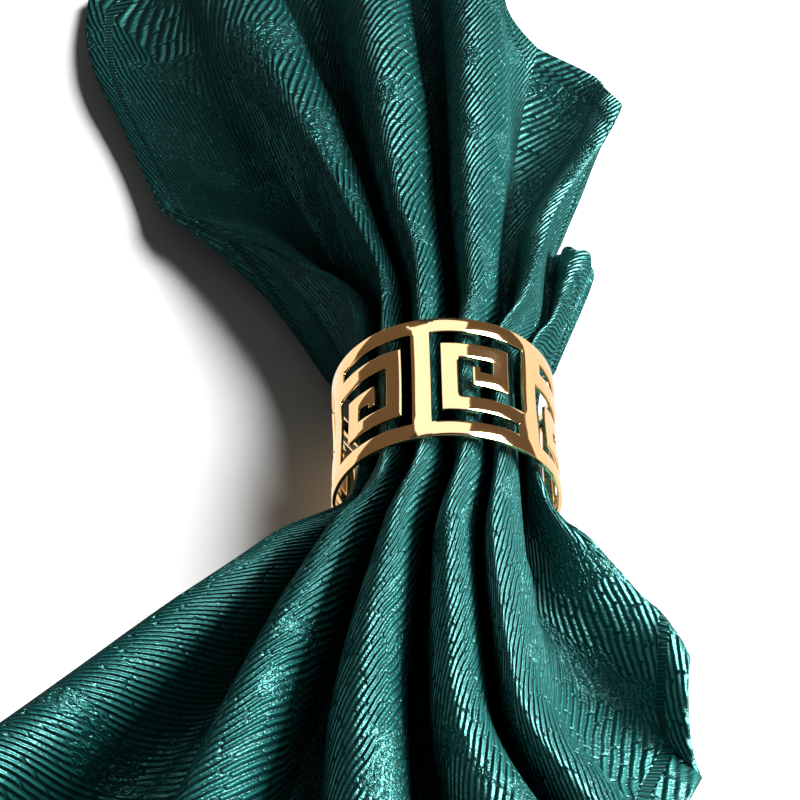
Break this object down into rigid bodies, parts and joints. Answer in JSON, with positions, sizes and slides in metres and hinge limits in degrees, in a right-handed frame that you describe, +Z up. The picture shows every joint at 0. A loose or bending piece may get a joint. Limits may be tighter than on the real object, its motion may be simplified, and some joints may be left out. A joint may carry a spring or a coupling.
{
  "type": "napkin in a ring",
  "caption": "Square damask cloth napkin drawn cornerwise through an openwork metal ring, its pleats fanning out on both sides, lying flat on a table.",
  "frame": {"origin": "middle of the bounding box's bottom, on the table that the napkin lies on", "axes": "+Y along the ring's axis and the napkin's pleats, towards the narrower fan; +X to the side of the shorter flaps; +Z up from the table"},
  "size_m": [0.1766, 0.4014, 0.045],
  "materials": {
    "damask_cloth": "woven satin damask, deep emerald, soft sheen",
    "polished_gold": "polished gold plate"
  },
  "bodies": {
    "root": {"napkin": "damask_cloth", "ring": "polished_gold"}
  },
  "joints": []
}
